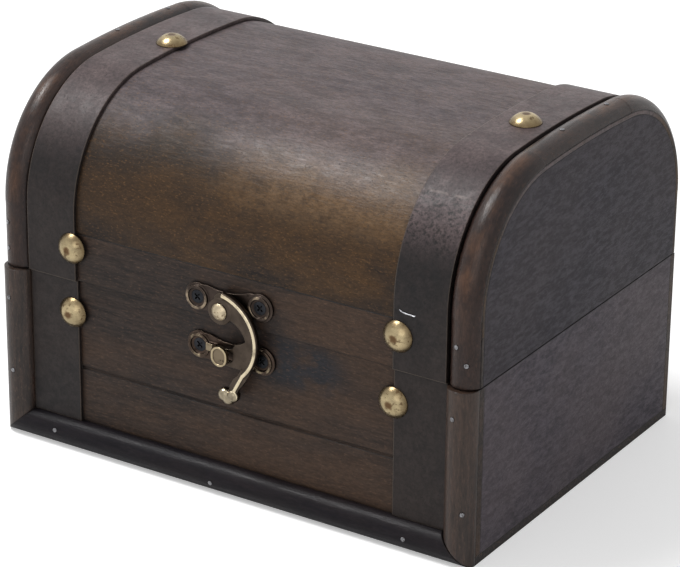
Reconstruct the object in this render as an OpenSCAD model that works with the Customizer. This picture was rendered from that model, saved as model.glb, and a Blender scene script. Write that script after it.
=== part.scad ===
// A small wooden money box shaped like a round-topped chest. A base of thin boards carries
// a lid whose bent sheet is nailed over two arched end boards. Raised beads and flat bands
// trim the front and the lid, two butt hinges carry the lid at the back, and a swing hook
// on the lid catches behind a bent tongue on the base. Millimetres, z = 0 is the table.

/* [Box] */
// Width over the two end boards
box_w = 150; // [120:1:220]
// Depth of the base over its front and back panels
box_d = 107; // [90:1:160]
// Height of the base, up to the seam
base_h = 50; // [42:1:90]
// Open seam between base and lid
seam_gap = 0.3; // [0.2:0.05:0.8]

/* [Boards] */
// Thickness of the end boards of base and lid
end_t = 6; // [4:0.5:9]
// Thickness of the front and back panels and of the lid rails
panel_t = 4; // [3:0.5:6]
// Thickness of the bent lid sheet, and of the laps over the end boards
sheet_t = 2.4; // [1.5:0.1:2.8]
// Thickness of the bottom board
bottom_t = 2.4; // [1.5:0.1:5]
// Height of the groove across the front panel above the table
groove_z = 24.2; // [14:0.2:30]
// Width of that groove
groove_w = 1.0; // [0.4:0.1:2]

/* [Lid] */
// Height of the lid end boards from the seam to the crown
lid_h = 49.8; // [44:0.2:70]
// Radius of the two shoulders of the arch
shoulder_r = 30.8; // [24:0.2:34]
// Radius of the flat crown of the arch
crown_r = 360; // [250:5:600]
// How far the faces of the lid stand proud of those of the base
lid_over = 0.9; // [0.6:0.1:1.6]
// Height of the straight rails under the bent sheet
rail_h = 13.7; // [12:0.1:16]
// Clearance under curved trim that is glued on
glue_gap = 0.05; // [0.02:0.01:0.1]

/* [Beads and rings] */
// Width of the half round beads on the front of the base
bead_w = 8.8; // [6:0.2:12]
// Height of those beads above the panel
bead_h = 4.6; // [3:0.1:6]
// Height of the bead along the foot of the front
foot_bead_w = 8; // [6:0.2:11]
// Open gap in the right mitre of the foot bead
mitre_gap = 0.4; // [0.1:0.05:0.8]
// Width of the rings round the ends of the lid
ring_w = 8.8; // [6:0.2:12]
// Height of the rings above the rebate they lie in
ring_h = 3.2; // [2.4:0.1:4]
// Depth of that rebate in the ends of the bent sheet and of the rails
ring_rebate = 1.2; // [0.4:0.1:1.2]
// How far the rings end above the seam at the back
ring_lift = 1.2; // [0.6:0.1:3]

/* [Bands] */
// Width of the flat bands beside the beads
band_w = 15.8; // [10:0.2:20]
// Thickness of the bands
band_t = 1; // [0.5:0.1:1.5]

/* [Dome tacks] */
// Radius of the dome heads
tack_r = 4.5; // [3:0.1:5.5]
// Height of the dome heads
tack_h = 2.6; // [1.5:0.1:3.5]
// Radius of the shanks
tack_shank_r = 0.8; // [0.5:0.1:1.2]
// Length of the shanks
tack_len = 3.6; // [2.5:0.1:4.5]
// Height of the lid tacks above the seam
tack_up = 9.5; // [7:0.1:12]
// Depth of the base tacks below the seam
tack_down = 9.5; // [6:0.1:12]
// How far the crown tacks sit in front of the middle
crown_tack_front = 5.2; // [0:0.1:12]

/* [Brads] */
// Radius of the plain brads in the beads and rings
brad_r = 0.6; // [0.4:0.05:0.9]
// Length of those brads
brad_len = 6.4; // [5.4:0.1:6.5]
// How far their ends stand out of the wood
brad_out = 0.15; // [0.05:0.05:0.4]

/* [Latch plates] */
// Distance between the two screws of a plate
screw_pitch = 19.8; // [18:0.1:24]
// How far the plates sit to the left of the middle of the box
plate_left = 0.4; // [0:0.1:1]
// Radius of the round ends of the plates
lobe_r = 4; // [3.6:0.1:4.3]
// Half height of the narrow waist of the plates
waist_h = 2.6; // [2:0.1:3.4]
// Thickness of the plates
plate_t = 0.8; // [0.6:0.1:1.2]
// Height of the raised rim round each screw
rim_h = 0.7; // [0.3:0.1:1]
// Width of that rim
rim_w = 0.8; // [0.5:0.1:1.1]
// Height of the hook rivet above the lower edge of the lid
hook_up = 3.9; // [3.6:0.1:4.4]
// How far the rivet sits to the left of the middle of the box
hook_left = 1.6; // [1:0.1:2]
// How far the middle of the hook plate sits above the rivet
hook_plate_lift = 2.1; // [1.8:0.1:3]
// Radius of the boss of the hook plate round the rivet
boss_r = 3.2; // [2.6:0.1:3.3]
// Depth of the catch plate below the seam
catch_down = 8.6; // [8:0.1:10]
// Turn of the hook plate on the lid
hook_plate_turn = 4; // [0:0.5:6]
// Radius of the screw heads
screw_r = 1.9; // [1.6:0.1:2.1]
// Radius of the screw shanks
screw_shank_r = 1; // [0.7:0.1:1.2]
// Length of the screws
screw_len = 4.2; // [3.4:0.1:4.4]

/* [Hook] */
// Radius of the round eye of the hook
eye_r = 3.7; // [3.4:0.1:4]
// Radius of the rivet shank that the eye turns on
rivet_r = 1.3; // [1:0.1:1.6]
// Clearance of the eye on the rivet
rivet_fit = 0.05; // [0.02:0.01:0.1]
// Radius of the rivet head
rivet_head_r = 2.4; // [2:0.1:2.8]
// Height of the rivet head
rivet_head_h = 1.2; // [0.8:0.1:1.6]
// Gap between the plates and the hook that slides over them
hook_gap = 0.3; // [0.2:0.05:0.5]
// Thickness of the flat web of the hook
web_t = 1.2; // [0.9:0.1:1.5]
// Radius of the round ridge along the outer edge of the hook
ridge_r = 0.65; // [0.5:0.05:0.8]
// Radius of the outer curve of the hook
hook_curve_r = 13.4; // [13:0.1:13.8]
// Width of the hook beside the bay
hook_arm_w = 3.7; // [3.2:0.1:4.2]

/* [Catch] */
// Width of the bent tongue
tongue_w = 2.2; // [1.6:0.1:2.6]
// Thickness of the tongue
tongue_t = 0.9; // [0.7:0.1:1.1]
// Half width of the head on the tongue
catch_head_r = 2.5; // [2.2:0.1:2.8]
// Extra height of that head
catch_head_add = 0.7; // [0.2:0.1:1.2]
// Clearance between the hook and the tongue
catch_gap = 0.35; // [0.25:0.05:0.5]

/* [Hinges] */
// Distance from the inner edge of a band to the hinge beside it
hinge_edge = 5.4; // [1:0.1:8]
// Length of a hinge
hinge_w = 20; // [14:1:24]
// Height of a leaf
leaf_h = 10; // [7:0.5:12]
// Thickness of the lid leaf
leaf_t = 0.9; // [0.7:0.1:1.1]
// Outer radius of the knuckles
knuckle_r = 1.9; // [1.6:0.1:2.4]
// Radius of the hinge pin
pin_r = 0.9; // [0.7:0.05:1.1]
// Clearance of the knuckles on the pin
pin_fit = 0.05; // [0.02:0.01:0.1]
// Clearance between parts that pass each other at the hinge
hinge_gap = 0.15; // [0.1:0.05:0.3]
// Radius of the round heads of the hinge brads
hinge_brad_r = 1.2; // [0.9:0.1:1.5]
// Height of those heads
hinge_brad_h = 0.6; // [0.4:0.1:0.8]
// Radius of their shanks
hinge_shank_r = 0.5; // [0.4:0.05:0.7]
// Length of the hinge brads
hinge_brad_len = 3; // [2:0.1:3.4]

/* [Hidden] */
$fn = 64;
eps = 0.01;
// How far a cutting shape runs past what it cuts
past = 20;

// Faces of the base and of the lid, counted from the middle of the box
half_w = box_w / 2;
face_y = box_d / 2;
lid_face_y = face_y + lid_over;
lid_z = base_h + seam_gap;
rail_top_z = lid_z + rail_h;

// Three-centred arch of the lid end boards: two shoulders and a flat crown
arch_a = lid_face_y - sheet_t;
crown_z = lid_z + lid_h;
crown_c = crown_z - crown_r;
shoulder_y = arch_a - shoulder_r;
shoulder_z = crown_c + sqrt(pow(crown_r - shoulder_r, 2) - pow(shoulder_y, 2));
crown_turn = asin(shoulder_y / (crown_r - shoulder_r));

// Bands, tacks and brads
bead_in = half_w - bead_w;
band_in = half_w - max(bead_w, ring_w) - band_w;
trim_y = lid_face_y + glue_gap;
ring_mid = half_w - ring_w / 2;
ring_in = half_w - ring_w - glue_gap;
ring_g = sheet_t - ring_rebate + glue_gap;
bead_mid = half_w - bead_w / 2;
lid_tack_z = lid_z + tack_up;
base_tack_z = base_h - tack_down;

// Tacks: side, then how far outside the inner edge of the band they sit
base_tack_out = [[-1, 1.8], [1, -0.2]];
lid_tack_out = [[-1, 1], [1, 1.4]];
crown_tack_out = [[-1, 3], [1, 8.5]];

// Brads: side, height, and how far outside the crest they sit; for the foot bead the place
// along the front and the height over its crest; on the crown the place front to back
bead_brads = [[-1, 19.7, 0.3], [-1, base_h - 8.6, 0.9],
    [1, 15.9, 2.4], [1, base_h - 7.7, -0.8]];
ring_brads = [[-1, lid_z + 5, 2], [-1, lid_z + 12.6, 2],
    [1, lid_z + 6.7, 1.8], [1, lid_z + 11.3, -1.1]];
foot_brads = [[18 - half_w, 0.9], [-4.8, -0.7], [half_w - 19, 0.2]];
crown_brad_y = [-7, 17];

// Latch: everything is placed from the middle of the two plates
hook_z = lid_z + hook_up;
hook_x = -hook_left;
catch_z = base_h - catch_down;
hook_plate_y = lid_face_y + plate_t;
catch_plate_y = face_y + plate_t;
eye_back = hook_plate_y + hook_gap;
web_back = hook_plate_y + rim_h + hook_gap;
web_front = web_back + web_t;
eye_front = web_front + hook_gap;
rivet_seat = eye_front + rivet_fit + 0.1;
catch_head_y = web_front + catch_gap + 0.15;
catch_up = 0.5;
reach = hook_z - catch_z - catch_up;
screw_sink = plate_t - 0.1;
hinge_x = band_in - hinge_edge - hinge_w / 2;

// Where two round stretches of one piece join, one is this much slimmer and is buried so deep
fuse_step = 0.03;
fuse_len = 0.3;
fuse_turn = 0.1;

// Outlines of the hook and the catch: x from the middle of the box, z from the eye
rivet_len = 3;
tongue_foot_x = screw_r + 0.15 - plate_left - screw_pitch / 2;
tongue_bend_x = -5.4;
tongue_top_x = -3.7;
head_x = -1;
low = -reach - 4.4;
arm_c = [-3.2, 4.6 - reach];
bay_c = [-0.5, 3.6 - reach];
bay_r = arm_c[0] + hook_curve_r - hook_arm_w - bay_c[0];
arm_top = arm_c[1] + hook_curve_r;
shoulder_c = [hook_x + 0.5, arm_top - 3];
shoulder_fill = [[hook_x - 3.1, 0.8], [hook_x - 1.8, 3.3], [hook_x + 3.1, 4.3],
    [hook_x + 3.6, -1.9]];
arm_clip = [[hook_x + 0.5, arm_top + 1], [20, arm_top + 1], [20, low + 2.5],
    [8.2, low + 2.2], [7, low + 0.6], [5.3, low + 1.8], [5, low + 6], [hook_x + 0.5, -8]];
finger_z = -reach - tongue_w / 2 - catch_gap;
jaw_z = -reach + tongue_w / 2;
jaw_tip_x = tongue_top_x + 0.85;
finger_tip_x = tongue_bend_x + 0.5;
jaw_outline = [[7.2, jaw_z + 4.9], [5, jaw_z + 3.4], [3.3, jaw_z + 2.8], [1.9, jaw_z + 1.2],
    [0.9, jaw_z + 0.9], [jaw_tip_x + 0.3, jaw_z + 0.9], [jaw_tip_x, jaw_z + 0.6],
    [jaw_tip_x, jaw_z - 0.7], [jaw_tip_x + 0.4, jaw_z - 1.1], [0, jaw_z - 0.9],
    [1.1, jaw_z + 0.3], [2.2, jaw_z + 0.3], [2.3, finger_z + 0.6], [1.6, finger_z],
    [finger_tip_x + 0.3, finger_z], [finger_tip_x, finger_z - 0.75],
    [finger_tip_x + 0.4, finger_z - 1.5], [5.2, finger_z - 1.6], [8.2, finger_z - 0.6],
    [9, finger_z + 2]];
neck_outline = [[5, low + 1.6], [3.9, low - 0.4], [2.5, low - 1.7], [1.4, low - 3.6],
    [0.9, low - 5.6], [3.6, low - 5.8], [4.2, low - 4.5], [5.7, low - 2.5], [7.4, low + 0.2],
    [8.5, low + 2.5], [6.5, low + 4]];
ridge_in = 0.12;
ridge_low = 46;
ridge_high = 80;
thumb_x = 1;
thumb_z = -reach - 11.6;
thumb_lobes = [[-1.3, 0.3, 1.95], [1.4, 0.5, 1.85], [0, -0.5, 1.9]];

// Hinge axis
axis_y = lid_face_y + knuckle_r + hinge_gap;
axis_z = base_h + seam_gap / 2;
knuckle_w = hinge_w / 3;

// ---- Helpers ----

// A flat outline in x and z, standing on the plane y = -y0 and growing forwards
module on_front(y0, t) {
    translate([0, -y0, 0]) rotate([90, 0, 0]) linear_extrude(height = t) children();
}

// A flat outline in y and z, drawn along x
module along_x(x0, w) {
    translate([x0, 0, 0]) rotate([90, 0, 90]) linear_extrude(height = w) children();
}

// Left and right copies of a shape that is made for the right side
module side(s) {
    if (s > 0) children();
    else mirror([1, 0, 0]) children();
}

// Radius of a round section with a chord of width w and a crest of height h, and how far
// it reaches to either side of its middle
function bead_r(w, h) = (w * w / 4 + h * h) / (2 * h);
function bead_reach(w, h) = h > w / 2 ? bead_r(w, h) : w / 2;

// The round section of a bead
module bead_2d(w, h) {
    r = bead_r(w, h);
    intersection() {
        translate([0, h - r]) circle(r = r);
        translate([-w, 0]) square([2 * w, h + 1]);
    }
}

// Outline of the arch, grown by g; y runs to the right and z upwards
module arch_2d(g) {
    up = shoulder_r + g + past;
    out = shoulder_y + up * tan(crown_turn);
    wide = 2 * (arch_a + g);
    intersection() {
        for (s = [-1, 1]) translate([s * shoulder_y, shoulder_z]) circle(r = shoulder_r + g);
        translate([-wide / 2 - 1, shoulder_z - 1]) square([wide + 2, up]);
    }
    translate([-wide / 2, lid_z]) square([wide, shoulder_z - lid_z]);
    intersection() {
        translate([0, crown_c]) circle(r = crown_r + g, $fn = 720);
        polygon([[-shoulder_y, shoulder_z], [shoulder_y, shoulder_z],
            [out, shoulder_z + up], [-out, shoulder_z + up]]);
    }
}

// One bent stretch of trim: a section, radial in x and along the box in y, turned about
// the point [y, z] of the arch from one angle on
module bend(x, c, r, from, turn) {
    translate([x, c[0], c[1]]) rotate([90, 0, 90]) rotate([0, 0, from])
        rotate_extrude(angle = turn, $fn = 180) translate([r, 0]) children();
}

// A round-crested trim strip that follows the arch from the front seam over the crown to
// the back, centred on x and g outside the arch. The shoulders are turned; the legs and the
// crown are fuse_step slimmer all round and run fuse_len into them.
module over_arch(x, g, w, h, back_lift) {
    leg = shoulder_z - lid_z;
    crown_a = crown_turn + fuse_turn;
    translate([x, -arch_a - g, lid_z]) rotate([0, 0, 180])
        linear_extrude(height = leg + fuse_len) slim_bead_2d(w, h);
    translate([x, arch_a + g, lid_z + back_lift])
        linear_extrude(height = leg - back_lift + fuse_len) slim_bead_2d(w, h);
    bend(x, [-shoulder_y, shoulder_z], shoulder_r + g, 90 + crown_turn, 90 - crown_turn)
        rotate(-90) bead_2d(w, h);
    bend(x, [0, crown_c], crown_r + g, 90 - crown_a, 2 * crown_a)
        rotate(-90) slim_bead_2d(w, h);
    bend(x, [shoulder_y, shoulder_z], shoulder_r + g, 0, 90 - crown_turn)
        rotate(-90) bead_2d(w, h);
}

module slim_bead_2d(w, h) {
    translate([0, fuse_step]) bead_2d(w - 4 * fuse_step, h - 2 * fuse_step);
}

// Places on the faces: the child's z axis points out of the wood there
module at_front(x, y0, z) {
    translate([x, -y0, z]) rotate([90, 0, 0]) children();
}
module at_back(x, y0, z) {
    translate([x, y0, z]) rotate([-90, 0, 0]) children();
}
module at_crown(x, y, g) {
    translate([x, 0, crown_c]) rotate([asin(-y / (crown_r + g)), 0, 0])
        translate([0, 0, crown_r + g]) children();
}

// A place d off the crest of a round section, its z axis square to the curve
module on_crest(w, h, d) {
    r = bead_r(w, h);
    translate([0, 0, h - r]) rotate([0, asin(d / r), 0]) translate([0, 0, r]) children();
}

// A shank of a nail or screw below its seat, and the hole it fills
module shank(r, len) {
    translate([0, 0, -len]) cylinder(r = r, h = len + eps, $fn = 24);
}
module shank_hole(r, len) {
    translate([0, 0, -len - 0.2]) cylinder(r = r + 0.02, h = len + 5, $fn = 24);
}

// A low dome of radius r and height h on its seat
module dome(r, h) {
    ball = (r * r + h * h) / (2 * h);
    intersection() {
        translate([0, 0, h - ball]) sphere(r = ball, $fn = 48);
        cylinder(r = r, h = h + 1);
    }
}

// ---- Boards ----

// A panel or rail whose ends are rebated so that a thin lap covers the end boards
module rebated_board(y0, z0, h) {
    difference() {
        translate([-half_w, -y0, z0]) cube([box_w, panel_t, h]);
        for (s = [0, 1]) mirror([s, 0, 0])
            translate([half_w - end_t, -y0 + sheet_t, z0 - 1]) cube([end_t + 1, panel_t, h + 2]);
    }
}

module bottom_board() {
    color("#33271f") translate([-half_w, -face_y, 0]) cube([box_w, box_d, bottom_t]);
}

module base_end() {
    translate([half_w - end_t, -face_y + sheet_t, bottom_t])
        cube([end_t, box_d - 2 * sheet_t, base_h - bottom_t]);
}

module left_end_board() {
    color("#3a3636") side(-1) base_end();
}

module right_end_board() {
    color("#3a3636") side(1) base_end();
}

module front_panel() {
    color("#3f2f22") difference() {
        rebated_board(face_y, bottom_t, base_h - bottom_t);
        translate([-band_in, -face_y, groove_z]) rotate([0, 90, 0])
            cylinder(r = groove_w / 2, h = 2 * band_in, $fn = 24);
        base_tack_holes();
        foot_and_bead_holes();
        catch_screw_places() shank_hole(screw_shank_r, screw_len);
    }
}

module back_panel() {
    color("#3a2c22") difference() {
        mirror([0, 1, 0]) rebated_board(face_y, bottom_t, base_h - bottom_t);
        base_hinge_brad_places() shank_hole(hinge_shank_r, hinge_brad_len);
    }
}

// ---- Beads, bands, tacks and brads of the base ----

// Everything below the mitre of the left or right bead, or above it, less the gap, for the
// foot bead
module mitre_cut(below, gap) {
    far = half_w + past;
    near = bead_in - past;
    slope = foot_bead_w / bead_w;
    shift = below ? 0 : -gap;
    side_z = below ? -2 * past : foot_bead_w + 2 * past;
    on_front(face_y - 1, bead_h + 2) polygon([[far, (half_w - far) * slope + shift],
        [near, (half_w - near) * slope + shift], [near, side_z], [far, side_z]]);
}

module front_bead(s) {
    difference() {
        side(s) difference() {
            translate([bead_mid, -face_y, 0]) rotate([0, 0, 180])
                linear_extrude(height = base_h) bead_2d(bead_w, bead_h);
            mitre_cut(true, 0);
        }
        foot_and_bead_holes();
    }
}

module left_front_bead() {
    color("#33281f") front_bead(-1);
}

module right_front_bead() {
    color("#33281f") front_bead(1);
}

module foot_bead() {
    color("#33281f") difference() {
        translate([-half_w, -face_y, foot_bead_w / 2]) rotate([90, 0, 90])
            linear_extrude(height = box_w) rotate(90) bead_2d(foot_bead_w, bead_h);
        mitre_cut(false, mitre_gap);
        side(-1) mitre_cut(false, glue_gap);
        foot_and_bead_holes();
    }
}

module bead_brad_places() {
    for (b = bead_brads) at_front(b[0] * bead_mid, face_y, b[1])
        on_crest(bead_w, bead_h, b[0] * b[2]) children();
    for (b = foot_brads) at_front(b[0], face_y, foot_bead_w / 2) rotate([0, 0, 90])
        on_crest(foot_bead_w, bead_h, b[1]) children();
}

module foot_and_bead_holes() {
    bead_brad_places() shank_hole(brad_r, brad_len);
}

module base_brads() {
    color("#b9b4ac") bead_brad_places() translate([0, 0, brad_out]) shank(brad_r, brad_len);
}

// A band ends clear of the widest part of the beads beside and below it
module front_band(s) {
    side_x = bead_mid - bead_reach(bead_w, bead_h) - glue_gap;
    low_z = foot_bead_w / 2 + bead_reach(foot_bead_w, bead_h) + glue_gap;
    difference() {
        side(s) translate([band_in, -face_y - band_t, low_z])
            cube([side_x - band_in, band_t, base_h - low_z]);
        base_tack_holes();
    }
}

module left_front_band() {
    color("#2b2724") front_band(-1);
}

module right_front_band() {
    color("#2b2724") front_band(1);
}

module base_tack_places() {
    for (t = base_tack_out)
        at_front(t[0] * (band_in + t[1]), face_y + band_t, base_tack_z) children();
}

module base_tack_holes() {
    base_tack_places() shank_hole(tack_shank_r, tack_len);
}

module tack() {
    dome(tack_r, tack_h);
    shank(tack_shank_r, tack_len);
}

module base_tacks() {
    color("#b8a679") base_tack_places() tack();
}

// ---- Lid ----

module lid_end(s) {
    difference() {
        side(s) along_x(half_w - end_t, end_t) arch_2d(-glue_gap);
        lid_tack_holes();
        ring_brad_holes();
    }
}

module left_lid_end() {
    color("#3a3636") lid_end(-1);
}

module right_lid_end() {
    color("#3a3636") lid_end(1);
}

module lid_front_rail() {
    color("#3f2f22") difference() {
        rebated_board(lid_face_y, lid_z, rail_h);
        lid_tack_holes();
        ring_brad_holes();
        hook_screw_places() shank_hole(screw_shank_r, screw_len);
        at_front(hook_x, lid_face_y, hook_z) shank_hole(rivet_r, rivet_len);
        ring_rebates();
    }
}

module lid_back_rail() {
    color("#3a2c22") difference() {
        mirror([0, 1, 0]) rebated_board(lid_face_y, lid_z, rail_h);
        lid_tack_holes();
        lid_hinge_brad_places() shank_hole(hinge_shank_r, hinge_brad_len);
        mirror([0, 1, 0]) ring_rebates();
    }
}

// The ends of the front rail are let in for the rings
module ring_rebates() {
    for (s = [-1, 1]) side(s) translate([ring_in, -lid_face_y - 1, lid_z - 1])
        cube([ring_w + 1, ring_rebate + 1, rail_h + 2]);
}

module lid_sheet() {
    color("#4a3626") difference() {
        along_x(-half_w, box_w) difference() {
            arch_2d(sheet_t);
            arch_2d(0);
            translate([-box_d, 0]) square([2 * box_d, rail_top_z]);
        }
        for (s = [-1, 1]) side(s) along_x(ring_in, ring_w + 1) difference() {
            arch_2d(sheet_t + 1);
            arch_2d(sheet_t - ring_rebate);
        }
        lid_tack_holes();
        ring_brad_holes();
    }
}

module lid_ring(s) {
    difference() {
        side(s) over_arch(ring_mid, ring_g, ring_w, ring_h, ring_lift);
        ring_brad_holes();
    }
}

module left_lid_ring() {
    color("#33281f") lid_ring(-1);
}

module right_lid_ring() {
    color("#33281f") lid_ring(1);
}

module lid_band(s) {
    difference() {
        side(s) along_x(band_in, band_w) difference() {
            arch_2d(sheet_t + glue_gap + band_t);
            arch_2d(sheet_t + glue_gap);
        }
        lid_tack_holes();
    }
}

module left_lid_band() {
    color("#2b2724") lid_band(-1);
}

module right_lid_band() {
    color("#2b2724") lid_band(1);
}

module lid_tack_places() {
    for (t = lid_tack_out) {
        at_front(t[0] * (band_in + t[1]), trim_y + band_t, lid_tack_z) children();
        at_back(t[0] * (band_in + t[1]), trim_y + band_t, lid_tack_z) children();
    }
    for (t = crown_tack_out) at_crown(t[0] * (band_in + t[1]), -crown_tack_front,
        sheet_t + glue_gap + band_t) children();
}

module lid_tack_holes() {
    lid_tack_places() shank_hole(tack_shank_r, tack_len);
}

module lid_tacks() {
    color("#b8a679") lid_tack_places() tack();
}

module ring_brad_places() {
    for (b = ring_brads) at_front(b[0] * ring_mid, arch_a + ring_g, b[1])
        on_crest(ring_w, ring_h, b[0] * b[2]) children();
    for (s = [-1, 1]) for (y = crown_brad_y)
        at_crown(s * ring_mid, y, ring_g + ring_h) children();
}

module ring_brad_holes() {
    ring_brad_places() shank_hole(brad_r, brad_len);
}

module lid_brads() {
    color("#b9b4ac") ring_brad_places() translate([0, 0, brad_out]) shank(brad_r, brad_len);
}

// ---- Latch plates ----

// Waisted outline of a plate, one lobe at each screw
module plate_2d() {
    waist_r = screw_pitch;
    difference() {
        union() {
            for (s = [-1, 1]) translate([s * screw_pitch / 2, 0]) circle(r = lobe_r);
            square([screw_pitch, 1.84 * lobe_r], center = true);
        }
        for (s = [-1, 1]) translate([0, s * (waist_h + waist_r)]) circle(r = waist_r);
    }
}

// A plate with its raised rims and countersunk holes, on the face y = -y0; a child is a
// boss that is added to its outline
module latch_plate(y0) {
    rim_r = lobe_r - 0.6;
    difference() {
        union() {
            on_front(y0, plate_t) {
                plate_2d();
                children();
            }
            for (s = [-1, 1]) on_front(y0 + plate_t - eps, rim_h + eps)
                translate([s * screw_pitch / 2, 0]) difference() {
                    circle(r = rim_r);
                    circle(r = rim_r - rim_w);
                }
        }
        for (s = [-1, 1]) at_front(s * screw_pitch / 2, y0 + plate_t, 0) screw_body(0.04);
    }
}

// A countersunk screw under its seat; grown by g for the hole it sits in
module screw_body(g) {
    translate([0, 0, -screw_sink])
        cylinder(r1 = screw_shank_r + g, r2 = screw_r + g, h = screw_sink + eps);
    shank(screw_shank_r + g, screw_len);
}

module screw() {
    slot_w = 0.5;
    difference() {
        screw_body(0);
        for (a = [45, 135]) rotate([0, 0, a])
            cube([2.2 * screw_shank_r, slot_w, 1], center = true);
    }
}

module in_hook_plate() {
    translate([-plate_left, 0, hook_z + hook_plate_lift])
        rotate([0, -hook_plate_turn, 0]) children();
}

module hook_screw_places() {
    in_hook_plate() for (s = [-1, 1])
        at_front(s * screw_pitch / 2, hook_plate_y, 0) children();
}

module catch_screw_places() {
    for (s = [-1, 1])
        at_front(s * screw_pitch / 2 - plate_left, catch_plate_y, catch_z) children();
}

module hook_plate() {
    color("#7d6a45") difference() {
        in_hook_plate() latch_plate(lid_face_y) rotate(-hook_plate_turn)
            translate([hook_x + plate_left, -hook_plate_lift]) circle(r = boss_r);
        at_front(hook_x, hook_plate_y, hook_z) shank_hole(rivet_r, plate_t + 1);
    }
}

module hook_plate_screws() {
    color("#2a2826") hook_screw_places() screw();
}

module catch_screws() {
    color("#2a2826") catch_screw_places() screw();
}

module hook_rivet() {
    color("#c2ad78") {
        at_front(hook_x, rivet_seat, hook_z) dome(rivet_head_r, rivet_head_h);
        at_front(hook_x, rivet_seat, hook_z)
            shank(rivet_r, rivet_seat - lid_face_y + rivet_len);
    }
}

// The tongue rises from the plate beside the left screw and carries a dished head
module catch_plate() {
    foot_y = catch_plate_y - 0.1;
    low_y = catch_plate_y + 0.45;
    top_y = catch_head_y + tongue_t;
    mid_z = catch_z + catch_up;
    color("#8a7548") {
        translate([-plate_left, 0, catch_z]) latch_plate(face_y);
        translate([0, 0, mid_z - tongue_w / 2]) linear_extrude(height = tongue_w)
            polygon([[tongue_foot_x, -foot_y], [tongue_foot_x + 0.5, -low_y - 0.55],
                [tongue_bend_x, -low_y - 0.85], [tongue_top_x, -top_y], [head_x, -top_y],
                [head_x, -catch_head_y], [tongue_top_x + 0.7, -catch_head_y],
                [tongue_bend_x + 0.7, -low_y], [tongue_bend_x + 0.7, -foot_y]]);
        on_front(catch_head_y, tongue_t) catch_head_2d(0);
        on_front(catch_head_y + tongue_t - eps, 0.4) difference() {
            catch_head_2d(0);
            catch_head_2d(-0.6);
        }
    }
}

module catch_head_2d(g) {
    translate([head_x, catch_z + catch_up]) {
        for (s = [-1, 1]) translate([0, s * catch_head_add / 2]) circle(r = catch_head_r + g);
        square([2 * (catch_head_r + g), catch_head_add], center = true);
    }
}

// ---- Hook ----

// Web of the hook: the eye and the shoulder beside it, the curved arm, the jaw whose tip
// rests by the tongue, the finger that passes under the tongue, and the neck
module hook_web_2d() {
    translate([hook_x, 0]) circle(r = eye_r - 10 * fuse_step);
    translate(shoulder_c) circle(r = 2.6);
    polygon(shoulder_fill);
    difference() {
        intersection() {
            translate(arm_c) circle(r = hook_curve_r);
            polygon(arm_clip);
        }
        translate(bay_c) circle(r = bay_r);
    }
    polygon(jaw_outline);
    polygon(neck_outline);
}

module latch_hook() {
    ridge_at = hook_curve_r - ridge_r - ridge_in;
    color("#a48d58") difference() {
        translate([0, 0, hook_z]) {
            on_front(web_back, web_t) hook_web_2d();
            on_front(eye_back, eye_front - eye_back) translate([hook_x, 0]) circle(r = eye_r);
            translate([arm_c[0], -web_front, arm_c[1]]) rotate([90, 0, 0])
                rotate([0, 0, -ridge_low]) rotate_extrude(angle = ridge_low + ridge_high)
                    translate([ridge_at, 0]) circle(r = ridge_r, $fn = 24);
            hook_ridge_tail(ridge_at);
            thumb_piece();
        }
        at_front(hook_x, eye_back - 1, hook_z) cylinder(r = rivet_r + rivet_fit, h = 10);
    }
}

// The ridge leaves the arm and runs down the neck into the thumb piece
module hook_ridge_tail(ridge_at) {
    start = [arm_c[0] + ridge_at * cos(ridge_low), arm_c[1] - ridge_at * sin(ridge_low)];
    stop = [thumb_x + 1.5, thumb_z + 1.4];
    run = stop - start;
    translate([start[0], -web_front, start[1]]) rotate([0, 90 - atan2(run[1], run[0]), 0])
        cylinder(r = ridge_r - fuse_step, h = norm(run), $fn = 24);
    translate([start[0], -web_front, start[1]]) sphere(r = ridge_r + fuse_step, $fn = 24);
}

// Three-lobed knob at the foot of the hook
module thumb_piece() {
    y = (web_back + web_front) / 2 + 0.2;
    for (c = thumb_lobes) translate([thumb_x + c[0], -y, thumb_z + c[1]])
        sphere(r = c[2], $fn = 32);
}

// ---- Hinges ----

module on_axis(x0, w, r) {
    translate([x0, axis_y, axis_z]) rotate([0, 90, 0]) cylinder(r = r, h = w);
}

// The knuckles: the two outer thirds belong to the base leaf, the middle one to the lid leaf
module hinge_base_leaf() {
    third = knuckle_w;
    difference() {
        union() {
            translate([-hinge_w / 2, face_y, base_h - leaf_h])
                cube([hinge_w, lid_over, leaf_h]);
            for (x = [-hinge_w / 2, hinge_w / 2 - third]) {
                on_axis(x, third, knuckle_r);
                translate([x, face_y, axis_z - knuckle_r])
                    cube([third, axis_y - face_y, leaf_t]);
            }
        }
        on_axis(-third / 2 - hinge_gap, third + 2 * hinge_gap, knuckle_r + hinge_gap);
        on_axis(-hinge_w, 2 * hinge_w, pin_r + pin_fit);
        leaf_brads(base_h - leaf_h, face_y + lid_over) shank_hole(hinge_shank_r, hinge_brad_len);
    }
}

module hinge_lid_leaf() {
    third = knuckle_w;
    difference() {
        union() {
            translate([-hinge_w / 2, lid_face_y, lid_z]) cube([hinge_w, leaf_t, leaf_h]);
            on_axis(-third / 2, third, knuckle_r);
            translate([-third / 2, lid_face_y, axis_z + knuckle_r - leaf_t])
                cube([third, axis_y - lid_face_y, leaf_t]);
        }
        for (x = [-hinge_w / 2 - 1, third / 2])
            on_axis(x, hinge_w / 2 - third / 2 + 1, knuckle_r + hinge_gap);
        on_axis(-hinge_w, 2 * hinge_w, pin_r + pin_fit);
        leaf_brads(lid_z, lid_face_y + leaf_t) shank_hole(hinge_shank_r, hinge_brad_len);
    }
}

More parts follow.
